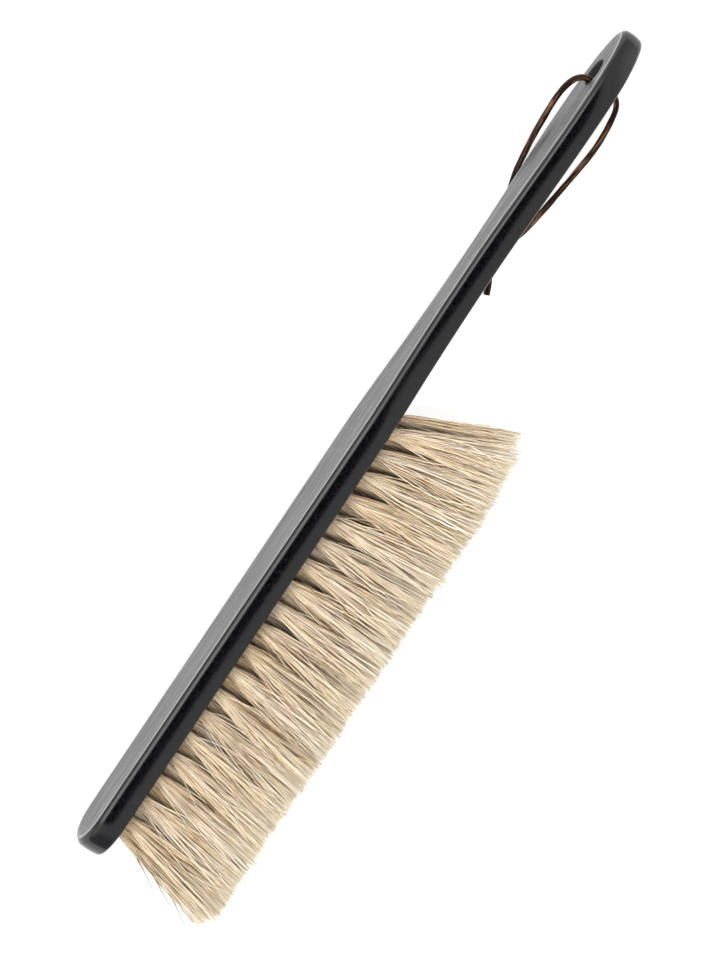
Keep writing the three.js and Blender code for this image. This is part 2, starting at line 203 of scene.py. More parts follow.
class Finish:
    """A material that is put together from nodes, in the order it is read."""

    def __init__(self, name):
        self.material = bpy.data.materials.new(name)
        self.material.use_nodes = True
        self.tree = self.material.node_tree
        self.shader = self.tree.nodes["Principled BSDF"]

    def add(self, kind, **settings):
        """A shader node of a kind, with its settings."""
        node = self.tree.nodes.new("ShaderNode" + kind)
        for key, value in settings.items():
            setattr(node, key, value)
        return node

    def link(self, source, target):
        """Feeds an output into an input."""
        self.tree.links.new(source, target)

    def noise(self, vector, stretch, detail=3.0, rough=0.5):
        """Noise whose grains are 1/stretch metres along each axis."""
        place = self.add("Mapping")
        place.inputs["Scale"].default_value = stretch
        self.link(vector, place.inputs["Vector"])
        node = self.add("TexNoise")
        node.inputs["Scale"].default_value = 1
        node.inputs["Detail"].default_value = detail
        node.inputs["Roughness"].default_value = rough
        self.link(place.outputs["Vector"], node.inputs["Vector"])
        return node.outputs["Fac"]

    def ramp(self, value, *stops):
        """A colour or a grey for each place from 0 to 1, blended between the stops."""
        node = self.add("ValToRGB")
        while len(node.color_ramp.elements) < len(stops):
            node.color_ramp.elements.new(0.5)
        for element, (place, colour) in zip(node.color_ramp.elements, stops):
            element.position = place
            grey = isinstance(colour, (int, float))
            element.color = (colour, colour, colour, 1) if grey else (*colour, 1)
        self.link(value, node.inputs["Fac"])
        return node.outputs["Color"]

    def sum(self, first, second, operation="ADD"):
        """Two values added, or joined by another operation."""
        node = self.add("Math", operation=operation)
        self.link(first, node.inputs[0])
        if isinstance(second, (int, float)):
            node.inputs[1].default_value = second
        else:
            self.link(second, node.inputs[1])
        return node.outputs[0]

    def tint(self, first, second, amount, blend="MULTIPLY"):
        """The first colour, blended with the second by an amount."""
        node = self.add("Mix", data_type="RGBA", blend_type=blend)
        sockets = (node.inputs[0], node.inputs[6], node.inputs[7])  # amount and two colours
        for value, socket in zip((amount, first, second), sockets):
            if isinstance(value, bpy.types.NodeSocket):
                self.link(value, socket)
            else:
                socket.default_value = value
        return node.outputs[2]

    def bump(self, height, distance, strength=1.0, under=None):
        """Relief of a distance in metres, on top of the relief under it."""
        node = self.add("Bump")
        if isinstance(strength, bpy.types.NodeSocket):
            self.link(strength, node.inputs["Strength"])
        else:
            node.inputs["Strength"].default_value = strength
        node.inputs["Distance"].default_value = distance
        self.link(height, node.inputs["Height"])
        if under:
            self.link(under, node.inputs["Normal"])
        return node.outputs["Normal"]


def leather_finish():
    """Waxed leather: deep brown, redder and paler where rubbing has worn it, fine lengthwise creases.
    """
    leather = Finish("waxed_thong_leather")
    grain = leather.add("Attribute", attribute_name="grain").outputs["Vector"]
    tone = leather.noise(grain, (90, 900, 900), 4, 0.6)
    colour = leather.ramp(
        tone,
        (0.43, (0.006, 0.0018, 0.0006)),
        (0.54, (0.034, 0.014, 0.0056)),
        (0.64, (0.19, 0.095, 0.048)),
    )
    leather.link(colour, leather.shader.inputs["Base Color"])
    creases = leather.noise(grain, (260, 3200, 3200), 5, 0.65)
    leather.link(leather.bump(creases, 0.00030), leather.shader.inputs["Normal"])
    gloss = leather.ramp(leather.noise(grain, (500, 2500, 2500), 3), (0.3, 0.36), (0.7, 0.56))
    leather.link(gloss, leather.shader.inputs["Roughness"])
    leather.shader.inputs["IOR"].default_value = 1.27
    return leather.material


thong_leather = leather_finish()


def thong_piece(name, lines, seed, cut_end):
    """One piece of the thong, made of one or more laces."""
    vertices, faces, grain = [], [], []
    for number, line in enumerate(lines):
        lace_vertices, lace_faces, lace_grain = lace(line, seed + number, cut_end)
        start = sum(len(block) for block in vertices)
        faces += [tuple(start + i for i in face) for face in lace_faces]
        vertices.append(lace_vertices)
        grain.append(lace_grain)
    piece = mesh_piece(name, np.concatenate(vertices), faces, sharp_over=50)
    note_points(piece, "grain", np.concatenate(grain))
    piece.data.materials.append(thong_leather)
    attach(piece, "loop")
    return piece


back_route = [
    spot(THONG_FROM_TOE, -0.02, THONG_HEIGHT),
    spot(THONG_FROM_TOE, 3.2, THONG_HEIGHT),
    spot(308.6, 5.6, 12.8),
    spot(306.8, 7.5, 12.2),
    spot(303.4, 8.5, 10.6),
    spot(298.4, 8.5, 8.2),
    spot(291.0, 7.5, 5.2),
    spot(284.1, 6.5, 3.1),
    spot(276.6, 5.2, 1.7),
    spot(270.2, 4.0, 1.15),
    spot(264.2, 2.2, 1.1),
    spot(258.6, -0.4, 1.1),
    spot(253.8, -2.6, 1.2),
    spot(249.8, -4.1, 1.6),
    spot(246.6, -4.6, 2.0),
]
back_line = smooth_line(back_route, LACE_STEP)
thong_back = thong_piece("thong_on_back", [back_line], seed=11, cut_end=False)
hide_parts("thong_back_stretch")


# ---------- thong, the stretch on the sole side ----------
# The same lace, out of the hole on the sole side: it hangs lower, touches the table behind the
# grip and meets the other stretch in the knot.

sole_route = [
    spot(THONG_FROM_TOE, 0.02, THONG_HEIGHT),
    spot(THONG_FROM_TOE, -3.4, THONG_HEIGHT),
    spot(309.3, -5.6, 12.7),
    spot(309.0, -8.0, 11.8),
    spot(306.7, -10.4, 10.0),
    spot(302.0, -12.2, 7.4),
    spot(292.6, -13.8, 3.9),
    spot(281.9, -13.4, 1.9),
    spot(272.2, -12.4, 1.2),
    spot(264.1, -11.4, 1.1),
    spot(256.4, -10.1, 1.15),
    spot(251.4, -8.6, 1.4),
    spot(248.4, -7.3, 1.8),
    spot(246.6, -6.7, 2.0),
]
sole_line = smooth_line(sole_route, LACE_STEP)
thong_sole = thong_piece("thong_on_sole", [sole_line], seed=23, cut_end=False)
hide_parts("thong_sole_stretch")


# ---------- thong, its knot ----------
# Both ends of the lace in one pulled-tight overhand knot: one end goes straight through, the
# other is wound one and a half times round it. The two tails are cut square.

KNOT_TURNS = 1.5
KNOT_STEPS = 18
KNOT_FROM_TOE = 245.7  # where the winding starts
KNOT_LENGTH = 3.6
KNOT_START = 0.92  # half turns from straight out of the back
KNOT_MIDDLE = (-5.6, 2.3)  # off the plank's middle, above the table
KNOT_REACH = (1.8, 1.22)
KNOT_LACE_STEP = 0.6 * MM

straight_end = [
    spot(247.2, -4.6, 1.95),
    spot(245.6, -4.8, 2.15),
    spot(243.6, -5.5, 2.3),
    spot(240.6, -6.3, 2.0),
    spot(237.2, -7.9, 1.3),
    spot(234.2, -9.8, 1.1),
    spot(230.3, -11.5, 1.1),
]
wound_end = [spot(247.2, -6.8, 1.95)]
for step in range(KNOT_STEPS + 1):
    share = step / KNOT_STEPS
    angle = math.pi * KNOT_START + share * KNOT_TURNS * 2 * math.pi
    y = KNOT_MIDDLE[0] + KNOT_REACH[0] * math.cos(angle)
    z = KNOT_MIDDLE[1] + KNOT_REACH[1] * math.sin(angle)
    wound_end.append(spot(KNOT_FROM_TOE - KNOT_LENGTH * share, y, z))
wound_end += [
    spot(239.6, -4.3, 1.6),
    spot(236.8, -4.4, 1.2),
    spot(233.0, -4.3, 1.1),
    spot(229.4, -4.7, 1.1),
]
knot_lines = [smooth_line(straight_end, LACE_STEP), smooth_line(wound_end, KNOT_LACE_STEP)]
thong_knot = thong_piece("thong_knot_tied", knot_lines, seed=37, cut_end=True)
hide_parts("thong_knot")


# ---------- cover board, the back of the plank ----------
# The upper of two thin hardwood boards, sawn and rounded together after gluing, stained black
# and given a thin satin coat by rubbing. Its outline is paddle, neck, waist and hanging end.

# outline of the plank, in mm from the toe and from its middle line
BRUSH_LENGTH = 330
TOE_HALF_WIDTH = 12.5
TOE_ROUND = 13.5
HEEL_AT = 168
WAIST_AT = 238
WAIST_HALF_WIDTH = 9.35
END_SWELL_AT = 297
END_HALF_WIDTH = 13.3
CORNER = 0.6  # share of a round corner that a handle of its curve spans
CURVE_POINTS = 200
OUTLINE_STEP = 1.1

# heights in the thickness, in mm above the plank's middle
SEAM_AT = 1.2
SEAM = 0.004  # half the gap between the boards

# edges of the plank, in mm
END_THINNING = 0.7  # the cover loses this much from the heel to the hanging end
EDGE_ROUND = 1.0  # of the sole
END_EXTRA_ROUND = 1.5  # the sole's rounding grows by this share at the hanging end
END_ROUND_FROM = 314
END_ROUND_OVER = 12
ARRIS_INSET = 1.35  # the rounded edge of the back: this far in on the face, and down the side
ARRIS_DROP = 2.05
ARRIS_POWER = 1.8
ARRIS_STEPS = 12
SIDE_CROWN = 0.45
CROWN_MIDDLE = -0.3
COVER_SIDE_END = 1.7  # lowest height of the cover's side before the seam
FACE_MARGIN = 1.5  # a ring on a flat face, this far inside its edge, keeps the face flat
SEAM_MARGIN = 0.8
SHARP_EDGE = 28  # degrees
HOLE_AT = 312
HOLE_RADIUS = 5
HOLE_BEVEL = 0.35
HOLE_SIDES = 72
CUT_PAST = 1  # a cutter reaches this far past what it cuts

toe = (TOE_ROUND, TOE_HALF_WIDTH)
heel = (HEEL_AT, HALF_WIDTH)
waist = (WAIST_AT, WAIST_HALF_WIDTH)
swell = (END_SWELL_AT, END_HALF_WIDTH)
half_outline = [
    [(0, 0), (0, TOE_HALF_WIDTH * CORNER), (TOE_ROUND * (1 - CORNER), TOE_HALF_WIDTH), toe],
    [toe, (84, 12.67), (139.44, HALF_WIDTH), heel],
    [heel, (184.8, HALF_WIDTH), (200.2, WAIST_HALF_WIDTH), waist],
    [waist, (255.11, WAIST_HALF_WIDTH), (278.12, END_HALF_WIDTH), swell],
    [swell, (316.8, END_HALF_WIDTH), (BRUSH_LENGTH, END_HALF_WIDTH * CORNER), (BRUSH_LENGTH, 0)],
]


def plank_outline():
    """Evenly spaced points round the plank and the outward direction at each, in mm."""
    t = np.linspace(0, 1, CURVE_POINTS)[:, None]
    side = [np.zeros((1, 2))]
    for a, b, c, d in half_outline:
        a, b, c, d = (np.array(p, float) for p in (a, b, c, d))
        curve = (1 - t) ** 3 * a + 3 * (1 - t) ** 2 * t * b + 3 * (1 - t) * t**2 * c + t**3 * d
        side.append(curve[1:])
    side = np.concatenate(side)
    loop = np.concatenate([side, (side * (1, -1))[-2:0:-1]])
    closed = np.concatenate([loop, loop[:1]])
    run = np.concatenate([[0], np.cumsum(np.linalg.norm(np.diff(closed, axis=0), axis=1))])
    count = 2 * round(run[-1] / OUTLINE_STEP / 2)
    at = np.arange(count) * run[-1] / count
    even = np.stack([np.interp(at, run, closed[:, 0]), np.interp(at, run, closed[:, 1])], axis=1)
    ahead = np.roll(even, -1, axis=0) - np.roll(even, 1, axis=0)
    ahead /= np.linalg.norm(ahead, axis=1)[:, None]
    outward = np.stack([-ahead[:, 1], ahead[:, 0]], axis=1)
    return even, outward


outline, outward = plank_outline()


def crown(height):
    """How far the side stands back from its fullest line, at a height in the thickness."""
    return SIDE_CROWN * ((height - CROWN_MIDDLE) / HALF_THICKNESS) ** 2


def back_at(from_toe, height=HALF_THICKNESS):
    """A height in the cover board, which thins along the handle towards the hanging end."""
    share = np.clip((from_toe - HEEL_AT) / (BRUSH_LENGTH - HEEL_AT), 0, 1)
    over_seam = (height - SEAM_AT) / (HALF_THICKNESS - SEAM_AT)
    return height - END_THINNING * share * np.maximum(0, over_seam)


def sole_rounding(from_toe):
    """The sole's edge is rounded more at the hanging end."""
    return 1 + END_EXTRA_ROUND * np.clip((from_toe - END_ROUND_FROM) / END_ROUND_OVER, 0, 1)


def sole_at(from_toe, height):
    """A height below the middle of the plank, moved with the rounding of the sole's edge."""
    rounding = sole_rounding(from_toe)
    start = EDGE_ROUND - HALF_THICKNESS
    rounded = (height + HALF_THICKNESS) * rounding - HALF_THICKNESS
    start_moved = EDGE_ROUND * rounding - HALF_THICKNESS
    return np.where(height <= start, rounded, height * start_moved / start)


def in_frame(points):
    """Points in mm, from the toe, off the plank's middle and off its middle line, in metres."""
    placed = np.empty_like(points)
    placed[:, 0] = board_low.x + points[:, 0] * MM
    placed[:, 1] = plank_middle_y + points[:, 1] * MM
    placed[:, 2] = (HALF_WIDTH + points[:, 2]) * MM
    return placed


def board(name, levels, highlight_level=None):
    """A board between flat faces, from (height, inset) levels listed from its back down."""
    count = len(outline)
    rings = []
    for height, inset in levels:
        if height < 0:
            rounded = (inset - crown(height)) * sole_rounding(outline[:, 0])
            ring = outline - outward * (crown(height) + rounded)[:, None]
            at_height = sole_at(ring[:, 0], height)
        else:
            ring = outline - outward * inset
            at_height = back_at(ring[:, 0], height)
        rings.append(in_frame(np.stack([ring[:, 0], at_height, ring[:, 1]], axis=1)))
    faces = [tuple(range(count))]
    for r in range(len(levels) - 1):
        for i in range(count):
            a = r * count + i
            b = r * count + (i + 1) % count
            faces.append((b, a, a + count, b + count))
    faces.append(tuple(range((len(levels) - 1) * count, len(levels) * count))[::-1])
    piece = mesh_piece(name, np.concatenate(rings), faces)
    # the first ring of the back's rounded edge is marked for a painted highlight along it
    arris_highlight = [level == highlight_level for level in range(len(levels))]
    note_points(piece, "arris_highlight", np.repeat(arris_highlight, count))
    return piece


def bars(places, sides):
    """Bars along Y, in mm; each place is (x, z, [(height, radius), ...] from the back down)."""
    vertices, faces = [], []
    for x, z, profile in places:
        start = len(vertices)
        for height, radius in profile:
            for s in range(sides):
                angle = s * 2 * math.pi / sides
                vertices.append((x + radius * math.cos(angle), height, z + radius * math.sin(angle)))
        faces.append(tuple(range(start, start + sides))[::-1])
        for r in range(len(profile) - 1):
            for s in range(sides):
                a = start + r * sides + s
                b = start + r * sides + (s + 1) % sides
                faces.append((a, b, b + sides, a + sides))
        last = start + (len(profile) - 1) * sides
        faces.append(tuple(range(last, last + sides)))
    return np.array(vertices), faces


def bar_cutter(places, sides):
    """Bars along Y as one object to cut with."""
    vertices, faces = bars(places, sides)
    return mesh_piece("cutter", in_frame(vertices), faces)


def cut(piece, cutter):
    """Takes the cutter out of the piece."""
    modifier = piece.modifiers.new("cut", "BOOLEAN")
    modifier.object = cutter
    modifier.operation = "DIFFERENCE"
    modifier.solver = "EXACT"
    ready = piece.evaluated_get(bpy.context.evaluated_depsgraph_get())
    mesh = bpy.data.meshes.new_from_object(ready)
    piece.modifiers.clear()
    piece.data = mesh
    bpy.data.objects.remove(cutter)


def hanging_hole_cutter():
    """The round hole with its bevelled mouths, through both boards."""
    rim = HOLE_RADIUS + HOLE_BEVEL
    back = float(back_at(HOLE_AT))
    profile = [
        (back + CUT_PAST, rim + CUT_PAST),
        (back, rim),
        (back - HOLE_BEVEL, HOLE_RADIUS),
        (HOLE_BEVEL - HALF_THICKNESS, HOLE_RADIUS),
        (-HALF_THICKNESS, rim),
        (-HALF_THICKNESS - CUT_PAST, rim + CUT_PAST),
    ]
    return bar_cutter([(HOLE_AT, 0, profile)], HOLE_SIDES)


def stained_wood_finish():
    """Black stain under a thin coat: lengthwise grain on the flat faces, satin smooth sides. The flat
    faces are painted a paler grey, partly for their grain and partly as a painted reflection of the
    table; a pale painted highlight runs along the back's edge.
    """
    wood = Finish("black_stained_wood")
    coordinates = wood.add("TexCoord")
    place = coordinates.outputs["Object"]
    facing = wood.add("SeparateXYZ")
    wood.link(coordinates.outputs["Normal"], facing.inputs[0])
    on_face = wood.ramp(wood.sum(facing.outputs["Y"], 0, "ABSOLUTE"), (0.8, 0.0), (0.97, 1.0))

    streaks = wood.noise(place, (9, 430, 430), 4, 0.7)
    fine_grain = wood.noise(place, (60, 1500, 1500), 3, 0.6)
    pores = wood.noise(place, (38, 420, 420), 4, 0.75)
    grit = wood.noise(place, (1700, 1900, 1900), 2, 0.5)
    on_sides = wood.ramp(grit, (0.42, (0.0004, 0.0004, 0.0006)), (0.74, (0.009, 0.0087, 0.010)))
    # painted reflection: the flat faces are a much paler grey than the sides, partly for their grain
    # and partly for the table's reflection in them
    face_grain_and_painted_reflection = wood.ramp(streaks, (0.40, (0.030, 0.029, 0.029)), (0.60, (0.105, 0.103, 0.101)))
    face_grain_and_painted_reflection = wood.tint(face_grain_and_painted_reflection, wood.ramp(pores, (0.41, 0.35), (0.59, 1.65)), 1.0)
    # from here on the stain colour also carries painted light: the faces' painted reflection, and
    # below, the painted highlight on the edge
    stain = wood.tint(on_sides, face_grain_and_painted_reflection, on_face, "MIX")
    specks = wood.add("TexVoronoi", feature="F1")
    specks.inputs["Scale"].default_value = 190
    wood.link(place, specks.inputs["Vector"])
    near = wood.ramp(specks.outputs["Distance"], (0.03, 1.0), (0.07, 0.0))
    few = wood.ramp(specks.outputs["Color"], (0.90, 0.0), (0.92, 1.0))
    pale = wood.sum(near, few, "MULTIPLY")
    stain = wood.tint(stain, (0.32, 0.30, 0.28, 1), pale, "MIX")
    # painted highlight: a pale grey line along the edge of the back, broken up by the grain
    arris_highlight = wood.add("Attribute", attribute_name="arris_highlight").outputs["Fac"]
    painted_arris_highlight = wood.sum(arris_highlight, wood.ramp(fine_grain, (0.35, 0.5), (0.6, 1.0)), "MULTIPLY")
    stain = wood.tint(stain, (0.40, 0.396, 0.395, 1), painted_arris_highlight, "MIX")

    per_cm = 100  # distances from the middle of the hanging hole, in cm
    from_bore = wood.add("Mapping", vector_type="POINT")
    from_bore.inputs["Scale"].default_value = (per_cm, 0, per_cm)
    bore = spot(HOLE_AT, 0, HALF_WIDTH)
    from_bore.inputs["Location"].default_value = (-per_cm * bore.x, 0, -per_cm * bore.z)
    wood.link(place, from_bore.inputs["Vector"])
    reach = wood.add("VectorMath", operation="LENGTH")
    wood.link(from_bore.outputs["Vector"], reach.inputs[0])
    wall = HOLE_RADIUS * MM * per_cm
    in_bore = wood.ramp(reach.outputs["Value"], (wall + 0.005, 1.0), (wall + 0.015, 0.0))
    # painted light: the wall of the hanging hole is a paler grey than the stained sides, for light
    # falling into the hole
    colour = wood.tint(stain, (0.035, 0.034, 0.036, 1), in_bore, "MIX")
    wood.link(colour, wood.shader.inputs["Base Color"])

    satin = wood.ramp(grit, (0.3, 0.12), (0.7, 0.18))
    matt = wood.ramp(streaks, (0.35, 0.30), (0.65, 0.46))
    rough = wood.tint(satin, matt, on_face, "MIX")
    rough = wood.tint(rough, (0.7, 0.7, 0.7, 1), in_bore, "MIX")
    wood.link(rough, wood.shader.inputs["Roughness"])
    ridges = wood.bump(streaks, 0.00016, on_face)
    relief = wood.bump(pores, 0.00014, on_face, ridges)
    wood.link(relief, wood.shader.inputs["Normal"])
    wood.shader.inputs["IOR"].default_value = 1.55
    return wood.material


stained_wood = stained_wood_finish()


def finish_board(piece):
    """Flat faces and smooth edges, black stain, on the brush."""
    piece.data.polygons.foreach_set("use_smooth", [True] * len(piece.data.polygons))
    piece.data.set_sharp_from_angle(angle=math.radians(SHARP_EDGE))
    piece.data.materials.clear()
    piece.data.materials.append(stained_wood)
    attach(piece, "brush")


cover_levels = [(HALF_THICKNESS, ARRIS_INSET + FACE_MARGIN + crown(HALF_THICKNESS))]
for step in range(ARRIS_STEPS + 1):
    share = step / ARRIS_STEPS
    height = HALF_THICKNESS - ARRIS_DROP * share
    cover_levels.append((height, ARRIS_INSET * (1 - share) ** ARRIS_POWER + crown(height)))
cover_levels.append((COVER_SIDE_END, crown(COVER_SIDE_END)))
cover_levels += [(SEAM_AT + SEAM, crown(SEAM_AT) + inset) for inset in (0, SEAM_MARGIN)]

cover = board("plank_cover_board", cover_levels, highlight_level=1)
cut(cover, hanging_hole_cutter())
finish_board(cover)
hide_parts("back_board")


# ---------- tuft board, the sole of the plank ----------
# The lower board, of the same wood. A row of holes for each row of tufts goes through its sole
# into a groove on its back, where the wire runs; the stain hides the glued seam.

ROW_SPACING = 8.2
PITCH = 8.7
FIRST_OUTER_TUFT = 16.4
OUTER_TUFTS = 19
TUFT_HOLE_RADIUS = 2.3
TUFT_HOLE_SIDES = 24
BOARD_BACK = 1.05
GROOVE_DEPTH = 2.6
GROOVE_FIT = 0.02  # a groove is this much wider than its holes, each side
GROOVE_END_STEPS = 12
HOLE_ABOVE_FLOOR = 0.5  # a hole's cutter starts this far above the groove's floor
SIDE_HEIGHTS = (0.8, 0.4, 0, -0.4, -0.8, -1.3, -1.8, -2.3, -2.9, -3.4)
ROUND_STEPS = 8
SOLE_MARGIN = 0.7
tuft_rows = {  # off the middle line, number of tufts, first tuft from the toe
    "front": (ROW_SPACING, OUTER_TUFTS, FIRST_OUTER_TUFT),
    "centre": (0, OUTER_TUFTS + 1, FIRST_OUTER_TUFT - PITCH / 2),
    "rear": (-ROW_SPACING, OUTER_TUFTS, FIRST_OUTER_TUFT),
}


def groove_cutter(z, count, first, low, high, half_width):
    """A slot with round ends over a row of tufts."""
    last = first + (count - 1) * PITCH
    rim = []
    for centre, start in ((last, -math.pi / 2), (first, math.pi / 2)):
        for step in range(GROOVE_END_STEPS + 1):
            angle = start + math.pi * step / GROOVE_END_STEPS
            rim.append((centre + half_width * math.cos(angle), z + half_width * math.sin(angle)))
    points = np.array([(x, height, side) for height in (high, low) for x, side in rim])
    n = len(rim)
    faces = [tuple(range(n))[::-1], tuple(range(n, 2 * n))]
    faces += [(i, (i + 1) % n, (i + 1) % n + n, i + n) for i in range(n)]
    return mesh_piece("cutter", in_frame(points), faces)


sole_levels = [(SEAM_AT - SEAM, crown(SEAM_AT) + inset) for inset in (SEAM_MARGIN, 0)]
sole_levels += [(height, crown(height)) for height in SIDE_HEIGHTS]
for step in range(ROUND_STEPS + 1):
    angle = math.pi / 2 * step / ROUND_STEPS
    height = EDGE_ROUND - HALF_THICKNESS - EDGE_ROUND * math.sin(angle)
    sole_levels.append((height, EDGE_ROUND * (1 - math.cos(angle)) + crown(height)))
sole_levels.append((-HALF_THICKNESS, EDGE_ROUND + SOLE_MARGIN + crown(-HALF_THICKNESS)))

sole = board("plank_tuft_board", sole_levels)
groove_floor = BOARD_BACK - GROOVE_DEPTH
groove_top = SEAM_AT + CUT_PAST
groove_half_width = TUFT_HOLE_RADIUS + GROOVE_FIT
bore = [
    (groove_floor + HOLE_ABOVE_FLOOR, TUFT_HOLE_RADIUS),
    (-HALF_THICKNESS - CUT_PAST, TUFT_HOLE_RADIUS),
]
for z, count, first in tuft_rows.values():
    cut(sole, groove_cutter(z, count, first, groove_floor, groove_top, groove_half_width))
    cut(sole, bar_cutter([(first + i * PITCH, z, bore) for i in range(count)], TUFT_HOLE_SIDES))
cut(sole, hanging_hole_cutter())
finish_board(sole)
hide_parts("tuft_board")


# ---------- drawing wires ----------
# One bright steel wire to each row, hidden between the boards. It runs along the groove and
# dips into the fold of each tuft that it pulls into its hole.


def drawn_steel_finish():
    """Drawn wire: bright, with fine lines along it."""
    steel = Finish("drawn_steel_wire")
    place = steel.add("TexCoord").outputs["Object"]
    lines = steel.noise(place, (120, 9000, 9000), 3, 0.6)
    steel.link(steel.ramp(lines, (0.3, 0.46), (0.7, 0.62)), steel.shader.inputs["Base Color"])
    steel.link(steel.ramp(lines, (0.3, 0.22), (0.7, 0.4)), steel.shader.inputs["Roughness"])
    steel.link(steel.bump(lines, 0.00002), steel.shader.inputs["Normal"])
    steel.shader.inputs["Metallic"].default_value = 1.0
    return steel.material


drawn_steel = drawn_steel_finish()
for row in tuft_rows:
    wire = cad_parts[row + "_wire"]
    wire.data.materials.clear()
    wire.data.materials.append(drawn_steel)


# ---------- hair tufts ----------
# Light natural hair, some 300 hairs to a tuft, folded and set with glue in its hole. Each tuft
# fans out until it meets its neighbours, and the whole field is trimmed straight.

HAIRS = 300  # in a tuft
HAIRS_IN_WISP = 3
WISPS = HAIRS // HAIRS_IN_WISP
LOCKS = 11
HAIR_SIDES = 3
HAIR_RINGS = np.array([0, 0.16, 0.36, 0.58, 0.8, 1.0])  # shares of the length
HAIR_RADII = np.array([0.11, 0.135, 0.14, 0.14, 0.13, 0.105])
HAIR_LENGTH = 43.5
HAIR_START = 0.3  # inside the sole's face
BUNDLE_RADIUS = 1.65  # of a tuft where it leaves its hole
HAIR_SEED = 100  # for the first row

# the whole field
TOE_LEAN = -9.5  # degrees, negative towards the toe
HEEL_LEAN = 16.5
LEAN_POWER = 2.6
HEEL_TRIM = 2.6  # the splayed hair at the heel is this much shorter
HEEL_TRIM_FROM = 0.88  # share of the field where that begins
HEEL_EDGE = (179.7, 198.2)  # how far the hair reaches at its root and at its tips
HEEL_FRAY = 0.3  # unevenness of that edge, which grows from the root to the tips
FRAY_AT_ROOT, FRAY_GROWTH = 0.3, 2
ROW_AT_TIPS = 9.4  # spacing of the rows at the tips
TIP_OVERLAP = 1.22  # the tips of a tuft reach past half way to its neighbours
TIP_SPREAD = 4.9
FIELD_HALF_WIDTH = 13.9
SAG, RISE = 0.1, 0.6  # a bent hair may pass the field's width by this much, down and up

# how the wisps of a tuft gather in locks, in a disc of radius 1
GOLDEN = math.pi * (3 - math.sqrt(5))
ROOT_SCATTER = 0.03
LOCK_REACH = 0.92
LOCK_SCATTER = 0.09
LOCK_BLUR = 0.06
TIP_SCATTER = 0.2
TIP_GATHER = 0.22  # share of its way to the middle of its lock
TIP_SQUARENESS = 0.18

# how the trimmed lengths differ, in mm
TUFT_TRIM, LOCK_TRIM, WISP_TRIM, HAIR_TRIM = 0.25, 0.35, 0.12, 0.24
SHORT_SHARE = 0.05
SHORT_LENGTHS = (0.75, 0.985)

# how hairs bend, in mm
WISP_BOW, HAIR_BOW = 0.2, 0.5
WISP_WAVE, HAIR_WAVE = 0.08, 0.32
KINK = 0.2
LOOSE_AT_ROOT, LOOSE_GROWTH = 0.06, 1.3
STRAY_SHARE = 0.02
STRAY_OFF = 2.6
STRAY_BOW = 1.7
STRAY_LIFT = 0.8  # strays of the front row rise out of it
CROSSING = 5  # hairs that lie across each tuft of the front row
CROSSING_OFF = (-5, 4)
CROSSING_BOW = 3
CROSSING_LIFT = (2, 4)
# loose hairs at the toe: share of the full length, mm from the tuft's middle line, bow
toe_strays = ((0.52, -4.2, 1.0), (0.71, -5.8, 1.2), (0.88, -8.2, 2.4))

# tones from 0, dark, to 1, pale; the dark hairs are partly real dark hairs and partly painted shadow
# lines between the pale ones
DARK_AND_SHADOW_SHARE_AT_TOE = 0.34
DARK_AND_SHADOW_SHARE_AT_HEEL = 0.23
PALE_TONE = 0.75
WISP_TONES = (0.15, 0.35)  # how pale ones differ, and the palest of the dark ones
HAIR_TONES = (0.2, 0.2)
OWN_TONE_AT_ROOT, OWN_TONE_REACH = 0.35, 0.4  # a hair's own tone takes over from its wisp's
STRAY_TONE = 0.95
GOLD, LOCK_GOLD, HAIR_GOLD = 0.45, 0.13, 0.18
GIRTH_SCATTER = 0.25
GIRTHS = (0.6, 1.7)
COARSE_GIRTH = 2.0

field_start = FIRST_OUTER_TUFT - PITCH / 2
field_end = FIRST_OUTER_TUFT + (OUTER_TUFTS - 0.5) * PITCH


def along_field(x):
    """Share of the way along the hair field, 0 at the toe and 1 at its last tuft."""
    return np.clip((x - field_start) / (field_end - field_start), 0, 1.1)


def tip_at(x):
    """Where the hair of a tuft at x ends: it leans to the toe, and splays at the heel."""
    lean = TOE_LEAN + (HEEL_LEAN - TOE_LEAN) * along_field(x) ** LEAN_POWER
    return x + HAIR_LENGTH * np.tan(np.radians(lean))


def trimmed_to(x):
    """The trimmed length of a tuft at x."""
    into_heel = np.maximum(0, along_field(x) - HEEL_TRIM_FROM) / (1 - HEEL_TRIM_FROM)
    return HAIR_LENGTH - HEEL_TRIM * into_heel**2


def disc(count):
    """Evenly spread places in a disc of radius 1."""
    k = np.arange(count) + 0.5
    r = np.sqrt(k / count)
    return np.stack([r * np.cos(k * GOLDEN), r * np.sin(k * GOLDEN)], axis=1)


def gathered_wisps(rng):
    """Roots and tips of a tuft's wisps in a disc of radius 1, and the lock of each."""
    roots = disc(WISPS) + rng.normal(0, ROOT_SCATTER, (WISPS, 2))
    locks = disc(LOCKS) * LOCK_REACH + rng.normal(0, LOCK_SCATTER, (LOCKS, 2))
    apart = np.linalg.norm(roots[:, None] - locks[None], axis=2)
    lock = (apart + rng.normal(0, LOCK_BLUR, apart.shape)).argmin(axis=1)
    tips = roots + rng.normal(0, TIP_SCATTER, (WISPS, 2))
    tips = tips + TIP_GATHER * (locks[lock] - tips)
    corner = np.abs(np.sin(2 * np.arctan2(tips[:, 1], tips[:, 0])))[:, None]
    return roots, tips * (1 + TIP_SQUARENESS * corner), lock


def trimmed_lengths(rng, root_x, lock, wisp):
    """Length of each hair of a tuft: nearly even, with a few short ones."""
    length = trimmed_to(root_x) + rng.normal(0, TUFT_TRIM) + rng.normal(0, LOCK_TRIM, LOCKS)[lock][wisp]
    length = length + rng.normal(0, WISP_TRIM, WISPS)[wisp] + rng.normal(0, HAIR_TRIM, HAIRS)
    short = rng.random(HAIRS) < SHORT_SHARE
    return np.where(short, length * rng.uniform(*SHORT_LENGTHS, HAIRS), length)


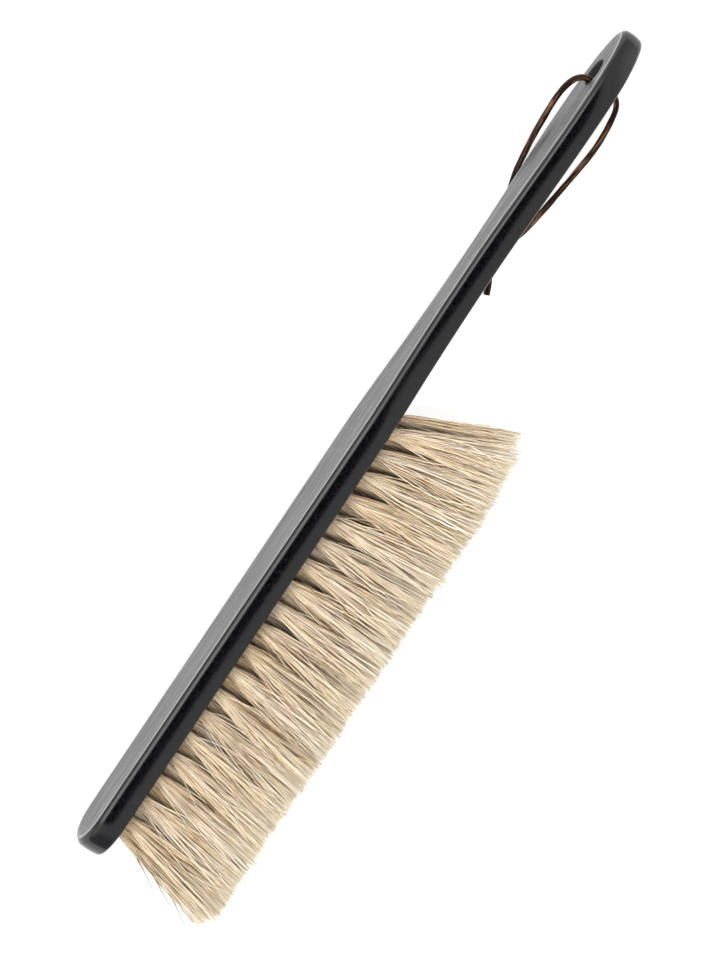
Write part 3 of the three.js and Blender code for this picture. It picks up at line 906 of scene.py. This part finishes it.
def hair_bends(rng, wisp, stray, stray_lift):
    """Bow, wave and place in its wisp of each hair, in mm along X and Z."""
    bow = rng.normal(0, WISP_BOW, (WISPS, 2))[wisp] + rng.normal(0, HAIR_BOW, (HAIRS, 2))
    bow = bow + stray[:, None] * rng.normal(0, STRAY_BOW, (HAIRS, 2))
    bow[:, 1] += stray * stray_lift
    wave = rng.normal(0, WISP_WAVE, (WISPS, 2))[wisp] + rng.normal(0, HAIR_WAVE, (HAIRS, 2))
    within = rng.normal(0, 1, (HAIRS, 2))
    return bow, wave, within


def some_dark(rng, count, dark_and_shadow_share, scatter, dark_to):
    """Pale tones with a share of dark ones among them, partly dark hairs and partly painted shadow
    lines.
    """
    pale = rng.normal(PALE_TONE, scatter, count)
    return np.where(rng.random(count) < dark_and_shadow_share, rng.uniform(0, dark_to, count), pale)


def hair_looks(rng, root_x, lock, wisp, stray, coarse):
    """Tone at each ring of each hair, and each hair's gold and girth."""
    s = HAIR_RINGS[None, :]
    darker = DARK_AND_SHADOW_SHARE_AT_HEEL - DARK_AND_SHADOW_SHARE_AT_TOE
    dark_and_shadow_share = DARK_AND_SHADOW_SHARE_AT_TOE + darker * along_field(root_x) ** 2
    of_wisp = some_dark(rng, WISPS, dark_and_shadow_share, *WISP_TONES)[wisp]
    of_hair = some_dark(rng, HAIRS, dark_and_shadow_share, *HAIR_TONES)
    own = np.clip(OWN_TONE_AT_ROOT + s / OWN_TONE_REACH, 0, 1)
    tone = of_wisp[:, None] * (1 - own) + of_hair[:, None] * own
    tone = np.where(stray[:, None], STRAY_TONE, np.clip(tone, 0, 1))
    tone = np.where(coarse[:, None], 0, tone)
    gold = rng.normal(GOLD, LOCK_GOLD, LOCKS)[lock][wisp] + rng.normal(0, HAIR_GOLD, HAIRS)
    gold = np.where(coarse, 0, np.clip(gold, 0, 1))
    girth = np.clip(rng.normal(1, GIRTH_SCATTER, HAIRS), *GIRTHS)
    return tone, gold, np.where(coarse, COARSE_GIRTH, girth)


def tuft_hairs(rng, root_x, row_z):
    """Centre lines (hair, ring, xyz in mm off the plank's middle), tones, gold and girths."""
    wisp = np.arange(HAIRS) // HAIRS_IN_WISP
    in_front = row_z > 0
    roots, tips, lock = gathered_wisps(rng)
    half_pitch = (tip_at(root_x + PITCH / 2) - tip_at(root_x - PITCH / 2)) / 2
    tip_x = tip_at(root_x) + half_pitch * TIP_OVERLAP * tips[:, 0]
    tip_z = row_z / ROW_SPACING * ROW_AT_TIPS + TIP_SPREAD * tips[:, 1]
    tip_z = np.clip(tip_z, -FIELD_HALF_WIDTH, FIELD_HALF_WIDTH)
    length = trimmed_lengths(rng, root_x, lock, wisp)
    stray = rng.random(HAIRS) < STRAY_SHARE
    bow, wave, within = hair_bends(rng, wisp, stray, STRAY_LIFT if in_front else 0)
    off = np.where(stray, rng.normal(0, STRAY_OFF, HAIRS), 0)
    coarse = np.zeros(HAIRS, bool)
    if root_x < FIRST_OUTER_TUFT:
        for number, (share, aside, bend) in enumerate(toe_strays):
            off[number] = tip_at(root_x) + aside - tip_x[wisp[number]]
            length[number] = share * HAIR_LENGTH
            bow[number] = (bend, 0)
            within[number] = 0
            coarse[number] = True
    if in_front:
        crossing = slice(HAIRS // 2, HAIRS // 2 + CROSSING)
        stray[crossing] = True
        off[crossing] = rng.uniform(*CROSSING_OFF, CROSSING)
        bow[crossing, 0] = rng.normal(0, CROSSING_BOW, CROSSING)
        bow[crossing, 1] = rng.uniform(*CROSSING_LIFT, CROSSING)

    s = HAIR_RINGS[None, :]
    loose = LOOSE_AT_ROOT + LOOSE_GROWTH * s
    x = root_x + BUNDLE_RADIUS * roots[wisp, :1]
    x = x + (tip_x[wisp][:, None] + off[:, None] - x) * s + within[:, :1] * loose
    z = row_z + BUNDLE_RADIUS * roots[wisp, 1:]
    z = z + (tip_z[wisp][:, None] - z) * s + within[:, 1:] * loose
    kink = rng.normal(0, KINK, (HAIRS, 2))
    for bend, half_waves in ((bow, 1), (wave, 2), (kink, 4)):
        x = x + bend[:, :1] * np.sin(half_waves * math.pi * s)
        z = z + bend[:, 1:] * np.sin(half_waves * math.pi * s)
    z = np.clip(z, -FIELD_HALF_WIDTH - SAG, FIELD_HALF_WIDTH + RISE)
    inside = np.abs(rng.normal(0, HEEL_FRAY, HAIRS))[:, None] * (FRAY_AT_ROOT + FRAY_GROWTH * s)
    x = np.minimum(x, HEEL_EDGE[0] + (HEEL_EDGE[1] - HEEL_EDGE[0]) * s - inside)
    y = HAIR_START - HALF_THICKNESS - (length[:, None] + HAIR_START) * s
    tone, gold, girth = hair_looks(rng, root_x, lock, wisp, stray, coarse)
    return np.stack([x, y, z], axis=2), tone, gold, girth


def hair_faces(count):
    """Three-sided tapering hairs: their side faces, and the two ends that close each."""
    rings = len(HAIR_RINGS)
    sides = []
    for r in range(rings - 1):
        for k in range(HAIR_SIDES):
            a = r * HAIR_SIDES + k
            b = r * HAIR_SIDES + (k + 1) % HAIR_SIDES
            sides.append((a, b, b + HAIR_SIDES, a + HAIR_SIDES))
    base = (np.arange(count) * rings * HAIR_SIDES)[:, None, None]
    quads = (base + np.array(sides)[None]).reshape(-1, 4)
    top = (rings - 1) * HAIR_SIDES
    ends = np.array([(0, 2, 1), (top, top + 1, top + 2)])
    return quads.tolist() + (base + ends[None]).reshape(-1, HAIR_SIDES).tolist()


# the glue, in mm
BED_HALF_WIDTH = 1.95
BED_ABOVE_FLOOR = 0.3
CHANNEL_HALF_WIDTH = 0.65  # the wire's channel in the bed
CHANNEL_DEPTH = 1.7
PLUG_SIDES = 14
PLUG_IN_BED = 0.5
PLUG_RADII = (1.9, 1.5, 1.0)  # in the bed, just out of the hole and between the roots
PLUG_STANDS_OUT = (0.1, 0.7)


def set_in_glue(z, count, first):
    """The bed of glue in the groove, with the wire's channel, and the plug in each hole."""
    last = first + (count - 1) * PITCH
    half, channel = BED_HALF_WIDTH, CHANNEL_HALF_WIDTH
    low, high, floor = groove_floor + BED_ABOVE_FLOOR, BOARD_BACK, BOARD_BACK - CHANNEL_DEPTH
    section = [(-half, low), (half, low), (half, high), (channel, high)]
    section += [(channel, floor), (-channel, floor), (-channel, high), (-half, high)]
    n = len(section)
    bed = [(x, height, z + side) for x in (first - half, last + half) for side, height in section]
    faces = [((i + 1) % n, i, i + n, (i + 1) % n + n) for i in range(n)]
    faces += [tuple(range(n)), tuple(range(n, 2 * n))[::-1]]
    heights = [low + PLUG_IN_BED] + [-HALF_THICKNESS - out for out in PLUG_STANDS_OUT]
    profile = list(zip(heights, PLUG_RADII))
    plugs, plug_faces = bars([(first + i * PITCH, z, profile) for i in range(count)], PLUG_SIDES)
    faces += [tuple(len(bed) + i for i in face) for face in plug_faces]
    return np.concatenate([bed, plugs]), faces


def hair_finish():
    """Pale hair: creamier towards the tips, darker and browner at the root as painted shade, each hair
    its own tone, the dark tones partly painted shadow lines.
    """
    hair = Finish("pale_brush_hair")
    tone = hair.add("Attribute", attribute_name="tone").outputs["Fac"]
    along_hair = hair.add("Attribute", attribute_name="along").outputs["Fac"]
    place = hair.add("TexCoord").outputs["Object"]
    # painted shade: the first two stops darken and brown the hair at its root, where the tufts shade
    # each other below the plank
    body = hair.ramp(
        along_hair,
        (0.0, (0.76, 0.66, 0.53)),
        (0.12, (0.88, 0.79, 0.65)),
        (0.55, (0.95, 0.87, 0.73)),
        (0.9, (0.99, 0.94, 0.82)),
        (1.0, (1.0, 0.965, 0.83)),
    )
    gold = hair.add("Attribute", attribute_name="gold").outputs["Fac"]
    hue = hair.ramp(gold, (0.1, (1.0, 0.97, 0.97)), (0.9, (0.98, 0.85, 0.64)))
    # the darkest tones make the dark hairs, partly real and partly painted shadow lines between pale
    # hairs
    shade = hair.ramp(
        tone,
        (0.0, (0.10, 0.062, 0.036)),
        (0.3, (0.67, 0.585, 0.48)),
        (0.6, (0.96, 0.94, 0.90)),
        (0.9, (1.0, 1.0, 1.0)),
    )
    paler_tips = hair.ramp(along_hair, (0.6, 1.0), (1.0, 0.45))
    colour = hair.tint(hair.tint(body, hue, 1.0), shade, paler_tips)
    hair.link(colour, hair.shader.inputs["Base Color"])
    scales = hair.noise(place, (2500, 2500, 2500), 2)
    hair.link(hair.ramp(scales, (0.3, 0.30), (0.7, 0.46)), hair.shader.inputs["Roughness"])
    return hair.material


brush_hair = hair_finish()


def hair_row(name, z, count, first, seed):
    """A row of tufts, set in its glue, as one piece."""
    rng = np.random.default_rng(seed)
    tufts = [tuft_hairs(rng, first + i * PITCH, z) for i in range(count)]
    lines, tones, golds, girths = (np.concatenate(block) for block in zip(*tufts))
    total, rings = lines.shape[:2]
    turn_each = rng.uniform(0, 2 * math.pi, total)[:, None]
    thickness = girths[:, None] * HAIR_RADII[None, :]
    points = np.empty((total, rings, HAIR_SIDES, 3))
    for k in range(HAIR_SIDES):
        angle = turn_each + k * 2 * math.pi / HAIR_SIDES
        points[:, :, k, 0] = lines[:, :, 0] + thickness * np.cos(angle)
        points[:, :, k, 1] = lines[:, :, 1]
        points[:, :, k, 2] = lines[:, :, 2] + thickness * np.sin(angle)
    hair_points = points.reshape(-1, 3)
    glue_points, glue_faces = set_in_glue(z, count, first)
    faces = hair_faces(total) + [tuple(len(hair_points) + i for i in face) for face in glue_faces]
    row = mesh_piece(name, in_frame(np.concatenate([hair_points, glue_points])), faces)
    smooth = np.ones(len(faces), bool)
    side_faces = total * (rings - 1) * HAIR_SIDES
    smooth[side_faces : side_faces + 2 * total] = False  # the ends
    row.data.polygons.foreach_set("use_smooth", smooth)
    for note, values in (
        ("tone", np.repeat(tones.ravel(), HAIR_SIDES)),
        ("gold", np.repeat(golds, rings * HAIR_SIDES)),
        ("along", np.tile(np.repeat(HAIR_RINGS, HAIR_SIDES), total)),
    ):
        note_points(row, note, np.concatenate([values, np.zeros(len(glue_points))]))
    row.data.materials.append(brush_hair)
    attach(row, "brush")
    return row


for number, (row, (z, count, first)) in enumerate(tuft_rows.items()):
    hairs = hair_row(row + "_hair_row", z, count, first, HAIR_SEED + number)
    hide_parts(row + "_tuft_row")


# ---------- table, lights and surroundings ----------
# A plain pale table top in a bright studio, whose ceiling is dark just over the brush. A window
# on the back's side lights the rounded edge, and a round soft lamp overhead lights the hair.

TABLE_HALF = 4.0  # metres
TABLE_GLOW = 0.84


def table_finish():
    """A matt white top that glows a little, so that it photographs white."""
    pale = Finish("pale_table")
    place = pale.add("TexCoord").outputs["Object"]
    tone = pale.ramp(pale.noise(place, (6, 6, 6), 3), (0.3, 0.30), (0.7, 0.32))
    pale.link(tone, pale.shader.inputs["Base Color"])
    pale.shader.inputs["Roughness"].default_value = 0.8
    pale.shader.inputs["Emission Color"].default_value = (1, 1, 1, 1)
    pale.shader.inputs["Emission Strength"].default_value = TABLE_GLOW
    return pale.material


corners = [(x * TABLE_HALF, y * TABLE_HALF, 0) for x, y in ((-1, -1), (1, -1), (1, 1), (-1, 1))]
table = mesh_piece("table_top", corners, [(0, 1, 2, 3)])
table.data.materials.append(table_finish())


world = bpy.data.worlds.new("studio")
world.use_nodes = True
bpy.context.scene.world = world
nodes = world.node_tree.nodes
links = world.node_tree.links
direction = nodes.new("ShaderNodeTexCoord").outputs["Generated"]


def studio_zone(towards, outer, inner, edge_colour, middle_colour):
    """A round zone of the surroundings; outer and inner are the angles at which it fades in."""
    closeness = nodes.new("ShaderNodeVectorMath")
    closeness.operation = "DOT_PRODUCT"
    closeness.inputs[1].default_value = Vector(towards).normalized()
    links.new(direction, closeness.inputs[0])
    fade = nodes.new("ShaderNodeValToRGB")
    stops = ((outer, edge_colour), (inner, middle_colour))
    for element, (angle, colour) in zip(fade.color_ramp.elements, stops):
        element.position = math.cos(math.radians(angle))
        element.color = (*colour, 1)
    links.new(closeness.outputs["Value"], fade.inputs["Fac"])
    return fade.outputs["Color"]


def add_light(light, window, strength):
    """The light with a window's added to it, or taken off it where the strength is negative."""
    scaled = nodes.new("ShaderNodeVectorMath")
    scaled.operation = "SCALE"
    scaled.inputs["Scale"].default_value = strength
    links.new(window, scaled.inputs[0])
    both = nodes.new("ShaderNodeMix")
    both.data_type = "RGBA"
    both.blend_type = "ADD"
    both.clamp_result = False
    both.inputs[0].default_value = 1.0
    links.new(light, both.inputs[6])
    links.new(scaled.outputs[0], both.inputs[7])
    return both.outputs[2]


def leaning(degrees):
    """Straight up, leant over towards the back."""
    return 0, math.sin(math.radians(degrees)), math.cos(math.radians(degrees))


BLACK = (0, 0, 0)
WHITE = (1.0, 1.0, 1.0)
CEILING = (0.85, 0.86, 0.88)
DARK_CEILING = (0.003, 0.003, 0.003)
ROOM_STRENGTH = 0.92
windows = {  # direction, degrees where it begins and where it is full, colour, strength
    "back_window": (leaning(58), 22, 5, WHITE, 3.35),
    "toe_window": ((-0.6, 0.5, 0.62), 38, 18, (1.0, 0.99, 0.98), 0.6),
    "end_window": ((0.7, -0.52, 0.48), 30, 14, (0.98, 0.99, 1.0), 0.5),
    "toe_shade": ((-0.9, -0.24, 0.15), 50, 25, WHITE, -0.45),
}
light = studio_zone(leaning(4), 19.5, 16.5, CEILING, DARK_CEILING)
for towards, outer, inner, colour, strength in windows.values():
    light = add_light(light, studio_zone(towards, outer, inner, BLACK, colour), strength)
surroundings = nodes["Background"]
links.new(light, surroundings.inputs["Color"])
surroundings.inputs["Strength"].default_value = ROOM_STRENGTH

LAMP_AWAY = 1.3  # metres from the middle of the picture
LAMP_WAY = (-0.22, -0.08, 0.93)
LAMP_SIZE = 0.40
LAMP_POWER = 14.0
softbox = bpy.data.lights.new("softbox", "AREA")
softbox.shape = "DISK"
softbox.size = LAMP_SIZE
softbox.energy = LAMP_POWER
lamp = bpy.data.objects.new("softbox", softbox)
lamp_way = Vector(LAMP_WAY).normalized()
lamp_turn = lamp_way.to_track_quat("Z", "Y").to_matrix().to_4x4()
lamp.matrix_world = Matrix.Translation(look_at + lamp_way * LAMP_AWAY) @ lamp_turn
lamp.visible_glossy = False  # its mirror image would draw a line along the plank's side
bpy.context.scene.collection.objects.link(lamp)

bpy.context.scene.view_settings.view_transform = "Standard"
